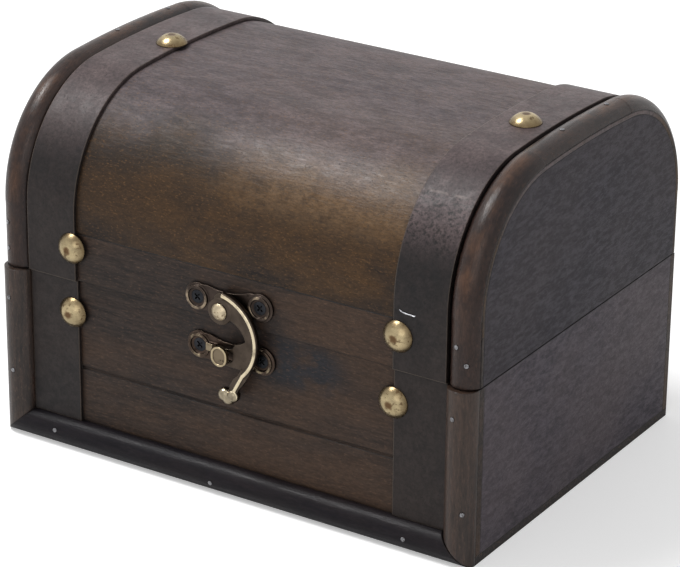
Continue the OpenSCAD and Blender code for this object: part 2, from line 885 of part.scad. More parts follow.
// Two brads of a leaf that stands on z0
module leaf_brads(z0, y0) {
    for (s = [-1, 1]) at_back(s * hinge_w * 0.3, y0, z0 + leaf_h * 0.5) children();
}

module hinge_brad() {
    dome(hinge_brad_r, hinge_brad_h);
    shank(hinge_shank_r, hinge_brad_len);
}

module hinge_pin() {
    head = 0.5;
    on_axis(-hinge_w / 2 - hinge_gap, hinge_w + 2 * hinge_gap, pin_r);
    for (x = [-hinge_w / 2 - hinge_gap - head, hinge_w / 2 + hinge_gap])
        on_axis(x, head, pin_r + 0.4);
}

module at_hinge(s) {
    translate([s * hinge_x, 0, 0]) children();
}

module base_hinge_brad_places() {
    for (s = [-1, 1]) at_hinge(s) leaf_brads(base_h - leaf_h, face_y + lid_over) children();
}

module lid_hinge_brad_places() {
    for (s = [-1, 1]) at_hinge(s) leaf_brads(lid_z, lid_face_y + leaf_t) children();
}

module left_hinge_base_leaf() {
    color("#8a7548") at_hinge(-1) hinge_base_leaf();
}

module right_hinge_base_leaf() {
    color("#8a7548") at_hinge(1) hinge_base_leaf();
}

module left_hinge_lid_leaf() {
    color("#8a7548") at_hinge(-1) hinge_lid_leaf();
}

module right_hinge_lid_leaf() {
    color("#8a7548") at_hinge(1) hinge_lid_leaf();
}

module left_hinge_pin() {
    color("#6f5f3c") at_hinge(-1) hinge_pin();
}

module right_hinge_pin() {
    color("#6f5f3c") at_hinge(1) hinge_pin();
}

module base_hinge_brads() {
    color("#b8a679") base_hinge_brad_places() hinge_brad();
}

module lid_hinge_brads() {
    color("#b8a679") lid_hinge_brad_places() hinge_brad();
}

bottom_board();
left_end_board();
right_end_board();
front_panel();
back_panel();
left_front_bead();
right_front_bead();
foot_bead();
left_front_band();
right_front_band();
base_tacks();
base_brads();
catch_plate();
catch_screws();
left_hinge_base_leaf();
right_hinge_base_leaf();
left_hinge_pin();
right_hinge_pin();
base_hinge_brads();
left_lid_end();
right_lid_end();
lid_front_rail();
lid_back_rail();
lid_sheet();
left_lid_ring();
right_lid_ring();
left_lid_band();
right_lid_band();
lid_tacks();
lid_brads();
hook_plate();
hook_plate_screws();
hook_rivet();
left_hinge_lid_leaf();
right_hinge_lid_leaf();
lid_hinge_brads();
latch_hook();
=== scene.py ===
# %% [markdown]
# # A wooden chest money box
#
# This lesson dresses the finished CAD model of a small wooden money box: dark
# stained boards, an arched lid, half-round trim, dome tacks and a cast swing hook.

# %% Load the model
import bpy
import math
from mathutils import Matrix, Vector


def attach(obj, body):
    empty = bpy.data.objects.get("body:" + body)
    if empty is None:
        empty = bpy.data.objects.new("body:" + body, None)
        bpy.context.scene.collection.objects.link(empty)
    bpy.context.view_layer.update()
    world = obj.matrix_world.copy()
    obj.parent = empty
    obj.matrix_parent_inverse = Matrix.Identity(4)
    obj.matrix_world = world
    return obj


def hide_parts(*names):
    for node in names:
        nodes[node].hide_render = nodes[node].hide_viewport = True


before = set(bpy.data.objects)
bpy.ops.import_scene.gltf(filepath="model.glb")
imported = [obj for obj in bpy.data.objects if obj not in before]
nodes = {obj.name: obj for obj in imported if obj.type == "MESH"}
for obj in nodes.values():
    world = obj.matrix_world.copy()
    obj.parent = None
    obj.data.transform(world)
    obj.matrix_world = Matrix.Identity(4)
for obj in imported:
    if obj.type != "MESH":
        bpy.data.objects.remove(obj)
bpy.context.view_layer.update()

MM = 0.001

# %% [markdown]
# ## The camera
#
# A long lens well away from the box keeps its edges nearly parallel. The camera is
# given by where it stands and by its own three directions, because three directions
# say exactly how it is turned, with no guessing of angles.

# %% Place the camera
RENDER_WIDTH = 680       # pixels across the finished render
FOCAL_LENGTH = 3141.2    # of the lens, in the same pixels
SENSOR_WIDTH = 36        # millimetres, as in a full-frame camera
camera_place = Vector((427.74, -674.12, 388.47)) * MM
camera_right = Vector((0.84188, 0.53960, 0.00827))
camera_up = Vector((-0.22128, 0.33118, 0.91725))
camera_back = camera_right.cross(camera_up).normalized()

camera_data = bpy.data.cameras.new("lesson_camera")
camera_data.sensor_fit = "HORIZONTAL"
camera_data.sensor_width = SENSOR_WIDTH
camera_data.lens = FOCAL_LENGTH / RENDER_WIDTH * SENSOR_WIDTH
camera_data.clip_start = 0.05
camera = bpy.data.objects.new("lesson_camera", camera_data)
bpy.context.scene.collection.objects.link(camera)
turn = Matrix((camera_right, camera_up, camera_back)).transposed()
camera.matrix_world = Matrix.Translation(camera_place) @ turn.to_4x4()
bpy.context.scene.camera = camera
print("lens", round(camera_data.lens, 1), "mm")

# %% [markdown]
# ## The studio
#
# The box stands on a pale floor in soft light. One lamp hangs overhead to the left
# and draws a soft highlight along the shoulder of the lid, and a large weak one lights
# the front. What the camera and the reflections see of the world is plain white, while
# the light that the world gives is weaker. The floor is white too, but it still catches
# the shadow under the box.
#
# Every finish in this lesson is a small tree of nodes, so the helpers come first: they
# add a node, join two sockets, do sums, blend colours and make noise.

# %% Helpers for node trees
def add_node(tree, kind, **settings):
    node = tree.nodes.new(kind)
    for name, value in settings.items():
        setattr(node, name, value)
    return node


def join(tree, source, target):
    tree.links.new(source, target)


def set_or_join(tree, socket, value):
    """Join a socket to another one, or set it to a number or a colour."""
    if isinstance(value, bpy.types.NodeSocket):
        join(tree, value, socket)
    else:
        socket.default_value = value


def math_node(tree, operation, a, b, clamp=False):
    node = add_node(tree, "ShaderNodeMath", operation=operation, use_clamp=clamp)
    set_or_join(tree, node.inputs[0], a)
    set_or_join(tree, node.inputs[1], b)
    return node.outputs[0]


def times(tree, *factors):
    product = factors[0]
    for factor in factors[1:]:
        product = math_node(tree, "MULTIPLY", product, factor)
    return product


def blend_colour(tree, amount, low, high, kind="MIX"):
    node = add_node(tree, "ShaderNodeMix", data_type="RGBA", blend_type=kind)
    set_or_join(tree, node.inputs["Factor"], amount)
    for socket, value in ((node.inputs[6], low), (node.inputs[7], high)):
        if isinstance(value, (tuple, list)):
            value = (*value, 1.0)
        set_or_join(tree, socket, value)
    return node.outputs[2]


def spread(tree, value, low, high, to_low=0.0, to_high=1.0):
    """Ease from to_low to to_high while value goes from low to high."""
    node = add_node(tree, "ShaderNodeMapRange", interpolation_type="SMOOTHSTEP")
    set_or_join(tree, node.inputs["Value"], value)
    for name, number in (("From Min", low), ("From Max", high),
                         ("To Min", to_low), ("To Max", to_high)):
        node.inputs[name].default_value = number
    return node.outputs["Result"]


def stretch(tree, place, run):
    """Draw a pattern out: the smaller a part of run, the longer the pattern that way."""
    node = add_node(tree, "ShaderNodeVectorMath", operation="MULTIPLY")
    join(tree, place, node.inputs[0])
    set_or_join(tree, node.inputs[1], run)
    return node.outputs[0]


def noise(tree, place, scale, detail=3.0, roughness=0.55, distortion=0.0):
    node = add_node(tree, "ShaderNodeTexNoise")
    join(tree, place, node.inputs["Vector"])
    for name, value in (("Scale", scale), ("Detail", detail),
                        ("Roughness", roughness), ("Distortion", distortion)):
        set_or_join(tree, node.inputs[name], value)
    return node.outputs["Fac"]


def seen_rays(tree):
    """Masks of the rays by which a surface is seen, and of those straight to the camera."""
    path = add_node(tree, "ShaderNodeLightPath")
    straight = path.outputs["Is Camera Ray"]
    by_gloss_or_glass = math_node(tree, "MAXIMUM", path.outputs["Is Glossy Ray"],
                                  path.outputs["Is Transmission Ray"])
    return math_node(tree, "MAXIMUM", straight, by_gloss_or_glass), straight


print("node helpers ready")

# %% Light the world
WORLD_LIGHT, WORLD_SEEN = 0.5, 1.0       # strength as a light, and as a white backdrop
world = bpy.data.worlds.new("studio_world")
bpy.context.scene.world = world
world.use_nodes = True
sky = world.node_tree
sky.nodes.clear()
seen = seen_rays(sky)[0]
backdrop = add_node(sky, "ShaderNodeBackground")
backdrop.inputs["Color"].default_value = (1, 1, 1, 1)
join(sky, spread(sky, seen, 0.0, 1.0, WORLD_LIGHT, WORLD_SEEN), backdrop.inputs["Strength"])
world_out = add_node(sky, "ShaderNodeOutputWorld")
join(sky, backdrop.outputs[0], world_out.inputs["Surface"])
print("world gives", WORLD_LIGHT, "and shows", WORLD_SEEN)

# %% Hang the lamps
BOX_MIDDLE = Vector((0, 0, 0.05))


def soft_lamp(name, place, side, power):
    """A square lamp that faces the middle of the box."""
    data = bpy.data.lights.new(name, "AREA")
    data.shape = "RECTANGLE"
    data.size, data.size_y = side, side
    data.energy = power
    lamp = bpy.data.objects.new(name, data)
    bpy.context.scene.collection.objects.link(lamp)
    lamp.location = place
    lamp.rotation_euler = (BOX_MIDDLE - Vector(place)).to_track_quat("-Z", "Y").to_euler()
    print(name, power, "W")


soft_lamp("overhead_lamp", (-0.46, -0.22, 0.95), side=0.36, power=7.2)
soft_lamp("front_lamp", (0.55, -1.25, 0.75), side=0.9, power=2.6)

# %% Lay the floor
FLOOR_RADIUS = 2.2
GLOW, GLOW_STRAIGHT = 0.1, 0.25          # added where it is seen, and seen straight


def clear_selection():
    """An operator acts on all that is selected, so nothing may be left selected."""
    if bpy.context.object and bpy.context.object.mode != "OBJECT":
        bpy.ops.object.mode_set(mode="OBJECT")
    bpy.ops.object.select_all(action="DESELECT")


clear_selection()
bpy.ops.mesh.primitive_circle_add(vertices=96, radius=FLOOR_RADIUS, fill_type="NGON")
floor = bpy.context.object
floor.name = "studio_floor"
floor_paint = bpy.data.materials.new("floor_paper")
floor_paint.use_nodes = True
tree = floor_paint.node_tree
paper = tree.nodes["Principled BSDF"]
paper.inputs["Base Color"].default_value = (0.9, 0.9, 0.9, 1)
paper.inputs["Roughness"].default_value = 0.9
paper.inputs["Specular IOR Level"].default_value = 0.1
paper.inputs["Emission Color"].default_value = (1, 1, 1, 1)
seen, straight = seen_rays(tree)
glow = math_node(tree, "ADD", times(tree, seen, GLOW), times(tree, straight, GLOW_STRAIGHT))
join(tree, glow, paper.inputs["Emission Strength"])
floor.data.materials.append(floor_paint)
print("floor radius", round(floor.dimensions.x / 2, 2), "m")

# %% [markdown]
# ## Effects that several finishes share
#
# Stained plywood shows several things at once: fine streaks along the grain, small
# pores and pale flecks, a short sandy grain that makes each tone lighter and darker,
# and large patches where the stain took unevenly. One node group makes all of
# them from a place and a grain direction, so that every board looks like the same
# wood. A second group finds edges: it compares the true normal with a rounded one,
# which differs only close to an edge. A third finds crevices by how much the
# surroundings hide them, and the finishes paint shade there.

# %% Wood figure group
FLOAT, VECTOR = "NodeSocketFloat", "NodeSocketVector"


def new_group(name, inputs, outputs):
    group = bpy.data.node_groups.new(name, "ShaderNodeTree")
    for title, kind, value in inputs:
        socket = group.interface.new_socket(title, in_out="INPUT", socket_type=kind)
        if value is not None:
            socket.default_value = value
    for title, kind in outputs:
        group.interface.new_socket(title, in_out="OUTPUT", socket_type=kind)
    return group, add_node(group, "NodeGroupInput"), add_node(group, "NodeGroupOutput")


wood_figure, given, made = new_group(
    "wood_figure",
    [("Place", VECTOR, None), ("Run", VECTOR, (0.06, 1, 1)), ("Patch Scale", FLOAT, 26.0)],
    [("Streak", FLOAT), ("Pore", FLOAT), ("Patch", FLOAT), ("Fleck", FLOAT), ("Grain", FLOAT)])
place, run = given.outputs["Place"], given.outputs["Run"]
half_run = add_node(wood_figure, "ShaderNodeVectorMath", operation="POWER")
join(wood_figure, run, half_run.inputs[0])
half_run.inputs[1].default_value = (0.5, 0.5, 0.5)
along = stretch(wood_figure, place, run)
half_along = stretch(wood_figure, place, half_run.outputs[0])
for title, pattern, limits in (
        ("Streak", noise(wood_figure, along, 900.0, 6.0, 0.66), (0.36, 0.66)),
        ("Pore", noise(wood_figure, half_along, 3400.0, 2.0, 0.5), (0.60, 0.74)),
        ("Fleck", noise(wood_figure, half_along, 2300.0, 2.0, 0.6), (0.54, 0.74)),
        ("Patch", noise(wood_figure, half_along, given.outputs["Patch Scale"], 5.0, 0.6, 0.2),
         (0.34, 0.66)),
        ("Grain", noise(wood_figure, half_along, 1500.0, 5.0, 0.75), (0.32, 0.68, 0.72, 1.34))):
    join(wood_figure, spread(wood_figure, pattern, *limits), made.inputs[title])
print("group", wood_figure.name, len(wood_figure.nodes), "nodes")

# %% Edge and crevice groups
edge_finder, given, made = new_group(
    "edge_finder", [("Width", FLOAT, 0.0005)], [("Edge", FLOAT), ("Soft Normal", VECTOR)])
rounder = add_node(edge_finder, "ShaderNodeBevel", samples=6)
join(edge_finder, given.outputs["Width"], rounder.inputs["Radius"])
true_shape = add_node(edge_finder, "ShaderNodeNewGeometry")
compare = add_node(edge_finder, "ShaderNodeVectorMath", operation="DOT_PRODUCT")
join(edge_finder, rounder.outputs[0], compare.inputs[0])
join(edge_finder, true_shape.outputs["Normal"], compare.inputs[1])
join(edge_finder, spread(edge_finder, compare.outputs["Value"], 0.995, 0.90),
     made.inputs["Edge"])
join(edge_finder, rounder.outputs[0], made.inputs["Soft Normal"])

# The crevice mask is ambient occlusion, and the finishes use it to paint shade.
crevice_shade_finder, given, made = new_group(
    "crevice_shade_finder", [("Reach", FLOAT, 0.003)], [("Crevice Shade", FLOAT)])
shade = add_node(crevice_shade_finder, "ShaderNodeAmbientOcclusion", samples=6)
join(crevice_shade_finder, given.outputs["Reach"], shade.inputs["Distance"])
join(crevice_shade_finder, spread(crevice_shade_finder, shade.outputs["AO"], 0.85, 0.25),
     made.inputs["Crevice Shade"])
print("groups", edge_finder.name, crevice_shade_finder.name)

# %% [markdown]
# ## Stained wood
#
# The boards are stained nearly black, with warm brown where the stain is thin. The
# colour starts from three tones and mixes them by patch and streak. Edges of boards
# that meet hold more stain, so a dark line is drawn there, while the round trim is
# rubbed brown on its crest. Satin varnish gives a broad sheen; the grain lifts it a
# little through a bump. Stain fills the wood, so straight on it mirrors less than
# varnish does, and its specular level is low.

# %% Helpers for finishes
def start_finish(name, metallic=0.0, specular=None):
    finish = bpy.data.materials.new(name)
    finish.use_nodes = True
    tree = finish.node_tree
    surface = tree.nodes["Principled BSDF"]
    surface.inputs["Metallic"].default_value = metallic
    if specular is not None:
        surface.inputs["Specular IOR Level"].default_value = specular
    where = add_node(tree, "ShaderNodeTexCoord").outputs["Object"]
    return finish, tree, surface, where


def place_group(tree, group, **values):
    node = add_node(tree, "ShaderNodeGroup", node_tree=group)
    for name, value in values.items():
        set_or_join(tree, node.inputs[name.replace("_", " ")], value)
    return node.outputs


def bump(tree, surface, height, strength, distance, normal):
    node = add_node(tree, "ShaderNodeBump")
    node.inputs["Strength"].default_value = strength
    node.inputs["Distance"].default_value = distance
    join(tree, height, node.inputs["Height"])
    join(tree, normal, node.inputs["Normal"])
    join(tree, node.outputs[0], surface.inputs["Normal"])


def axis_of(tree, where, letter):
    parts = add_node(tree, "ShaderNodeSeparateXYZ")
    join(tree, where, parts.inputs[0])
    return parts.outputs[letter]


def distance_out(tree, where, letter):
    """How far a point lies from the middle of the box along one axis, to either side."""
    return math_node(tree, "ABSOLUTE", axis_of(tree, where, letter), 0.0)


def near(tree, value, middle, core, fade):
    """1 where value is within core of middle, falling to 0 over fade."""
    off = math_node(tree, "ABSOLUTE", math_node(tree, "SUBTRACT", value, middle), 0.0)
    return spread(tree, off, core, core + fade, 1.0, 0.0)


def tinted(colour, factor, lift=0.0):
    """A colour made darker or lighter, and no brighter than white."""
    return tuple(min(1.0, factor * part + lift) for part in colour)


print("finish helpers ready")

# %% The stained wood finish
WOOD_EDGE, WOOD_SHADE_REACH = 0.5 * MM, 2.5 * MM             # reach of dark edges and of painted crevice shade
CREST_X, CREST_CORE, CREST_FADE = 70.6 * MM, 0.72 * MM, 2.7 * MM
# Near-black, used for the painted shade in crevices and for the dark joint line.
SHADE_AND_JOINT_BLACK = (0.004, 0.0035, 0.004)


def rubbed_crest(tree, where):
    """The crest of the half-round trim, rubbed thin in stretches, and most on the lid."""
    ridge = near(tree, distance_out(tree, where, "X"), CREST_X, CREST_CORE, CREST_FADE)
    thin = spread(tree, noise(tree, where, 90.0, 4.0, 0.65), 0.38, 0.66)
    handled = spread(tree, axis_of(tree, where, "Z"), 0.056, 0.084, 0.20, 1.0)
    return times(tree, ridge, thin, handled, 0.75)


def stained_wood(name, run, dark, middle, warm, warmth, edge_tone, edge_amount, roughness,
                 specular=0.22, patch_scale=26.0, fleck_amount=0.3, crevice_shade_amount=0.85,
                 crest=False, extra=None, shine=None):
    """Three tones of stain by streak and patch. A board's own marks come from extra, and
    shine says where hands have polished it."""
    finish, tree, surface, where = start_finish(name, specular=specular)
    figure = place_group(tree, wood_figure, Place=where, Run=run, Patch_Scale=patch_scale)
    edges = place_group(tree, edge_finder, Width=WOOD_EDGE)
    crevice_shade = place_group(tree, crevice_shade_finder, Reach=WOOD_SHADE_REACH)["Crevice Shade"]
    tone = blend_colour(tree, figure["Streak"], dark, middle)
    tone = blend_colour(tree, times(tree, figure["Patch"], warmth), tone, warm)
    if crest:
        tone = blend_colour(tree, rubbed_crest(tree, where), tone, warm)
    if extra is not None:
        tone = extra(tree, where, tone)
    tone = blend_colour(tree, 1.0, tone, figure["Grain"], kind="MULTIPLY")
    fleck = times(tree, figure["Fleck"], fleck_amount)
    tone = blend_colour(tree, fleck, tone, tinted(warm, 2.6, lift=0.01))
    tone = blend_colour(tree, times(tree, figure["Pore"], 0.6), tone, tinted(dark, 0.3))
    tone = blend_colour(tree, times(tree, edges["Edge"], edge_amount), tone, edge_tone)
    # Painted shade: the wood turns near-black where its surroundings hide it.
    tone = blend_colour(tree, times(tree, crevice_shade, crevice_shade_amount), tone, SHADE_AND_JOINT_BLACK)
    join(tree, tone, surface.inputs["Base Color"])
    rough = spread(tree, figure["Streak"], 0.0, 1.0, roughness + 0.06, roughness - 0.03)
    if shine is not None:
        rough = math_node(tree, "SUBTRACT", rough, times(tree, shine(tree, where), 0.12))
    join(tree, rough, surface.inputs["Roughness"])
    height = math_node(tree, "SUBTRACT", figure["Streak"], times(tree, figure["Pore"], 0.8))
    bump(tree, surface, height, 0.3, 0.1 * MM, edges["Soft Normal"])
    return finish


def paint(node_names, finish):
    for name in node_names:
        nodes[name].data.materials.clear()
        nodes[name].data.materials.append(finish)
    print(finish.name, "on", ", ".join(node_names))


print("stained wood ready")

# %% [markdown]
# ## Places where the tone differs
#
# Some marks belong to single boards. Dirt and painted shade darken the wood round the
# latch, a blue-black smudge lies beside the catch plate, and a thin dark joint shows
# where the bent sheet meets the rail below it. Hands have rubbed one stretch of the
# lid's shoulder brown and shiny, and its brown is also the painted highlight of the
# lamp. The left side of the lid is painted darker as shade, and the crown and the bands
# on it are painted grey-brown as their sheen. The right band is scuffed below a
# crisp line, and the rim of the bottom board took the dark stain of the outside.
# Such marks could be painted by hand on unwrapped boards, but then every board would
# need its own map. A mark is a small function of place instead, which changes the tone
# before the specks and edges are laid over it.

# %% Marks on the front
def sheet_joint(tree, where, tone):
    """The dark hair line between the lid rail and the bent sheet."""
    line = near(tree, axis_of(tree, where, "Z"), 64.0 * MM, 0.08 * MM, 0.22 * MM)
    broken = spread(tree, noise(tree, where, 130.0, 3.0), 0.30, 0.50)
    return blend_colour(tree, times(tree, line, broken, 0.85), tone, SHADE_AND_JOINT_BLACK)


def front_marks_and_latch_shade(tree, where, tone):
    """Dirt and painted shade around the latch, blue-black stain beside the catch plate, the
    joint line.
    """
    x, z = axis_of(tree, where, "X"), axis_of(tree, where, "Z")
    outside = spread(tree, axis_of(tree, where, "Y"), -53.0 * MM, -52.5 * MM, 1.0, 0.0)
    patchy = spread(tree, noise(tree, where, 140.0, 4.0, 0.65), 0.30, 0.62)
    # Dirt and painted shade: darker round the latch on the outer face, broken by noise.
    dirt_and_latch_shade = times(tree, near(tree, x, 0.0, 12 * MM, 12 * MM),
                 near(tree, z, 48 * MM, 5 * MM, 10 * MM), patchy, outside, 0.7)
    ragged = spread(tree, noise(tree, where, 160.0, 3.0), 0.32, 0.55)
    smudge = times(tree, near(tree, x, 22 * MM, 6 * MM, 10 * MM),
                   near(tree, z, 43 * MM, 3.5 * MM, 6 * MM), ragged, outside, 0.9)
    tone = blend_colour(tree, dirt_and_latch_shade, tone, (0.010, 0.008, 0.008))
    tone = blend_colour(tree, smudge, tone, (0.010, 0.0115, 0.016))
    return sheet_joint(tree, where, tone)


print("front marks ready")

# %% Marks on the lid and its bands
SCUFF_LINE = 95.6 * MM       # height of the crisp line across the right band


def front_half(tree, where):
    """1 in front of the crown and 0 behind, for marks that the back doesn't have."""
    return spread(tree, axis_of(tree, where, "Y"), -20 * MM, -10 * MM, 1.0, 0.0)


def rubbed_and_highlit_shoulder(tree, where):
    """Where hands rub the shoulder of the lid and where its highlight lies: shinier, and brown.
    """
    return times(tree, near(tree, axis_of(tree, where, "X"), 26 * MM, 14 * MM, 34 * MM),
                 near(tree, axis_of(tree, where, "Z"), 92.5 * MM, 4 * MM, 10 * MM),
                 front_half(tree, where))


def lid_tones(tree, where, tone):
    """A brown shoulder, rubbed and painted as its highlight, a left side painted darker as
    shade, a crown painted grey as its sheen, and the joint line.
    """
    thin = spread(tree, noise(tree, where, 300.0, 6.0, 0.72), 0.30, 0.62, 0.25, 1.0)
    # Painted highlight with wear: warm brown where the lamp's highlight lies on the shoulder.
    rubbed = times(tree, rubbed_and_highlit_shoulder(tree, where), thin, 0.8)
    tone = blend_colour(tree, rubbed, tone, (0.135, 0.081, 0.042))
    # Painted shade: the left side of the lid is darker, where less light falls on it.
    left_shade = spread(tree, axis_of(tree, where, "X"), -45 * MM, 10 * MM, 1.0, 0.0)
    tone = blend_colour(tree, times(tree, left_shade, 0.48), tone, (0.012, 0.0075, 0.0055))
    # Painted sheen: the tone turns grey-brown towards the crown, with a wandering edge.
    wander = math_node(tree, "SUBTRACT", noise(tree, where, 35.0, 3.0), 0.5)
    height = math_node(tree, "ADD", axis_of(tree, where, "Z"), times(tree, wander, 22 * MM))
    drawn_out = stretch(tree, where, (0.4, 1.0, 1.0))
    mottle = spread(tree, noise(tree, drawn_out, 260.0, 7.0, 0.78), 0.34, 0.66)
    grey = blend_colour(tree, mottle, (0.062, 0.050, 0.056), (0.134, 0.107, 0.114))
    crown = times(tree, spread(tree, height, 87 * MM, 102 * MM), 0.75)
    return sheet_joint(tree, where, blend_colour(tree, crown, tone, grey))


def band_tones(tree, where, tone):
    """Grey-brown on the crown as painted sheen; the right band is dark and scuffed below a crisp
    line at the front.
    """
    z = axis_of(tree, where, "Z")
    right_side = spread(tree, axis_of(tree, where, "X"), 0.0, 1 * MM)
    front = times(tree, right_side, front_half(tree, where))
    below = times(tree, front,
                  spread(tree, z, SCUFF_LINE - 0.1 * MM, SCUFF_LINE + 0.1 * MM, 1.0, 0.0))
    elsewhere = math_node(tree, "SUBTRACT", 1.0, below)
    mottle = spread(tree, noise(tree, where, 70.0, 5.0, 0.65), 0.32, 0.68)
    fine = spread(tree, noise(tree, where, 1500.0, 3.0, 0.6), 0.34, 0.66)
    brown = blend_colour(tree, mottle, (0.073, 0.052, 0.054), (0.140, 0.101, 0.100))
    brown = blend_colour(tree, times(tree, fine, 0.35), brown, (0.020, 0.016, 0.016))
    # Painted sheen: grey-brown towards the crown, except below the crisp line at the front.
    crown_sheen = times(tree, spread(tree, z, 80 * MM, 104 * MM), elsewhere, 0.8)
    scuffs = spread(tree, noise(tree, where, 1100.0, 4.0, 0.65), 0.34, 0.56)
    scuffed = times(tree, spread(tree, z, 79 * MM, 92.5 * MM), below, scuffs)
    tone = blend_colour(tree, math_node(tree, "MAXIMUM", crown_sheen, scuffed), tone, brown)
    broken = spread(tree, noise(tree, where, 400.0, 3.0), 0.36, 0.56)
    line = times(tree, front, near(tree, z, SCUFF_LINE, 0.1 * MM, 0.2 * MM), broken, 0.5)
    return blend_colour(tree, line, tone, (0.21, 0.165, 0.15))


print("scuff line at", round(SCUFF_LINE / MM, 1), "mm")

# %% Stain on the rim of the bottom board
def outer_rim(tree, where, tone):
    """Dark at the four faces of the bottom board's edge, and bare between them."""
    across = spread(tree, distance_out(tree, where, "X"), 68.5 * MM, 69.0 * MM)
    deep = spread(tree, distance_out(tree, where, "Y"), 49.4 * MM, 49.8 * MM)
    rim = math_node(tree, "MAXIMUM", across, deep)
    return blend_colour(tree, rim, tone, (0.020, 0.016, 0.016))


print("rim ready")

# %% Stain the boards
ALONG_X, ALONG_Z = (0.10, 1, 1), (1, 1, 0.08)      # long grain, on boards and trim
SHORT_X, SHORT_Y = (0.22, 1, 1), (1, 0.30, 1)      # shorter, on the sheet and the ends
DARK = (0.0095, 0.0068, 0.0062)
MIDDLE = (0.029, 0.0185, 0.014)
WARM = (0.062, 0.033, 0.018)
JOINT = (0.005, 0.004, 0.004)

board_wood = stained_wood(
    "board_wood", ALONG_X, DARK, MIDDLE, WARM, warmth=0.6, edge_tone=JOINT,
    edge_amount=0.6, roughness=0.46, patch_scale=55.0, extra=front_marks_and_latch_shade)
sheet_wood = stained_wood(
    "sheet_wood", SHORT_X, (0.008, 0.0048, 0.0035), (0.027, 0.0150, 0.0078),
    (0.072, 0.035, 0.0105), warmth=0.75, edge_tone=JOINT, edge_amount=0.6, roughness=0.48,
    patch_scale=65.0, fleck_amount=0.35, extra=lid_tones, shine=rubbed_and_highlit_shoulder)
lid_end_wood = stained_wood(
    "lid_end_wood", SHORT_Y, (0.0130, 0.0106, 0.0155), (0.030, 0.0252, 0.0350),
    (0.040, 0.031, 0.034), warmth=0.4, edge_tone=JOINT, edge_amount=0.7, roughness=0.52,
    specular=0.20, fleck_amount=0.14)
# Painted light: the lower end boards take a copy of the end finish about twice as light, for the
# light thrown up from the floor.
lit_base_end_wood = stained_wood(
    "lit_base_end_wood", SHORT_Y, (0.030, 0.0252, 0.0340), (0.064, 0.0540, 0.0680),
    (0.088, 0.069, 0.072), warmth=0.5, edge_tone=JOINT, edge_amount=0.7, roughness=0.52,
    specular=0.20, fleck_amount=0.14)
floor_wood = stained_wood(
    "floor_wood", ALONG_X, (0.03, 0.02, 0.013), (0.07, 0.045, 0.028), (0.11, 0.07, 0.04),
    warmth=0.4, edge_tone=(0.01, 0.008, 0.006), edge_amount=0.5, roughness=0.55,
    extra=outer_rim)
paint(["front_panel", "back_panel", "lid_front_rail", "lid_back_rail"], board_wood)
paint(["lid_sheet"], sheet_wood)
paint(["left_lid_end", "right_lid_end"], lid_end_wood)
paint(["left_end_board", "right_end_board"], lit_base_end_wood)
paint(["bottom_board"], floor_wood)

# %% [markdown]
# ## The half-round trim
#
# Beads stand at the front corners, one runs along the foot, and rings follow the arch
# of the lid. They are solid wood, glossier than the boards, and hands have rubbed their
# crests, most of all on the lid. The foot bead is nearly black and only its edges
# are worn. Scratches could be painted on one by one, but one finish with a worn
# crest serves for all of them, because only the direction of the grain changes. A ring
# turns with the arch, so its grain is drawn out both back and up.

# %% Stain the half-round trim
bead_wood = stained_wood(
    "bead_wood", ALONG_Z, DARK, (0.037, 0.0225, 0.0175), (0.086, 0.048, 0.030),
    warmth=0.35, edge_tone=JOINT, edge_amount=0.4, roughness=0.30, specular=0.35,
    fleck_amount=0.15, crest=True)
foot_wood = stained_wood(
    "foot_wood", ALONG_X, (0.004, 0.0033, 0.0055), (0.010, 0.0078, 0.0100),
    (0.024, 0.016, 0.015), warmth=0.3, edge_tone=(0.06, 0.045, 0.035), edge_amount=0.3,
    roughness=0.38, specular=0.14, fleck_amount=0.08)
ring_wood = stained_wood(
    "ring_wood", (1, 0.12, 0.12), (0.0055, 0.0042, 0.0055), (0.0165, 0.0112, 0.0118),
    (0.086, 0.042, 0.024), warmth=0.24, edge_tone=JOINT, edge_amount=0.4, roughness=0.27,
    specular=0.26, fleck_amount=0.12, crevice_shade_amount=0.30, crest=True)
paint(["left_front_bead", "right_front_bead"], bead_wood)
paint(["foot_bead"], foot_wood)
paint(["left_lid_ring", "right_lid_ring"], ring_wood)

# %% [markdown]
# ## The bands
#
# Flat black strips run down the front and over the lid. A leather finish with pores and
# creases could be made for them, but they are so smooth and dark that the stained finish
# serves, with its figure alike in all directions, which leaves a leathery mottle. Their
# cut edges show a lighter tone, so the edge tone is pale here, and towards the crown
# they are painted grey-brown as sheen.

# %% Blacken the bands
band_wood = stained_wood(
    "band_wood", (0.35, 0.35, 0.35), (0.0085, 0.0075, 0.008), (0.0165, 0.0130, 0.0130),
    (0.030, 0.020, 0.0165), warmth=0.45, edge_tone=(0.14, 0.11, 0.085), edge_amount=0.55,
    roughness=0.42, patch_scale=40.0, fleck_amount=0.08, crevice_shade_amount=0.45,
    extra=band_tones)
paint(["left_front_band", "right_front_band", "left_lid_band", "right_lid_band"], band_wood)

# %% [markdown]
# ## Brass, bronze and steel
#
# The tacks are pale plated brass with brown freckles; the latch is a rough casting
# in dark bronze whose high edges have been polished bright. Metal takes its colour
# from the base colour, so the finish mixes a dark and a bright metal colour by edge
# and by noise, and makes the dark part rougher. The faces that stand furthest forward
# are rubbed too. They are found by how far they lie in front of the middle of the box.

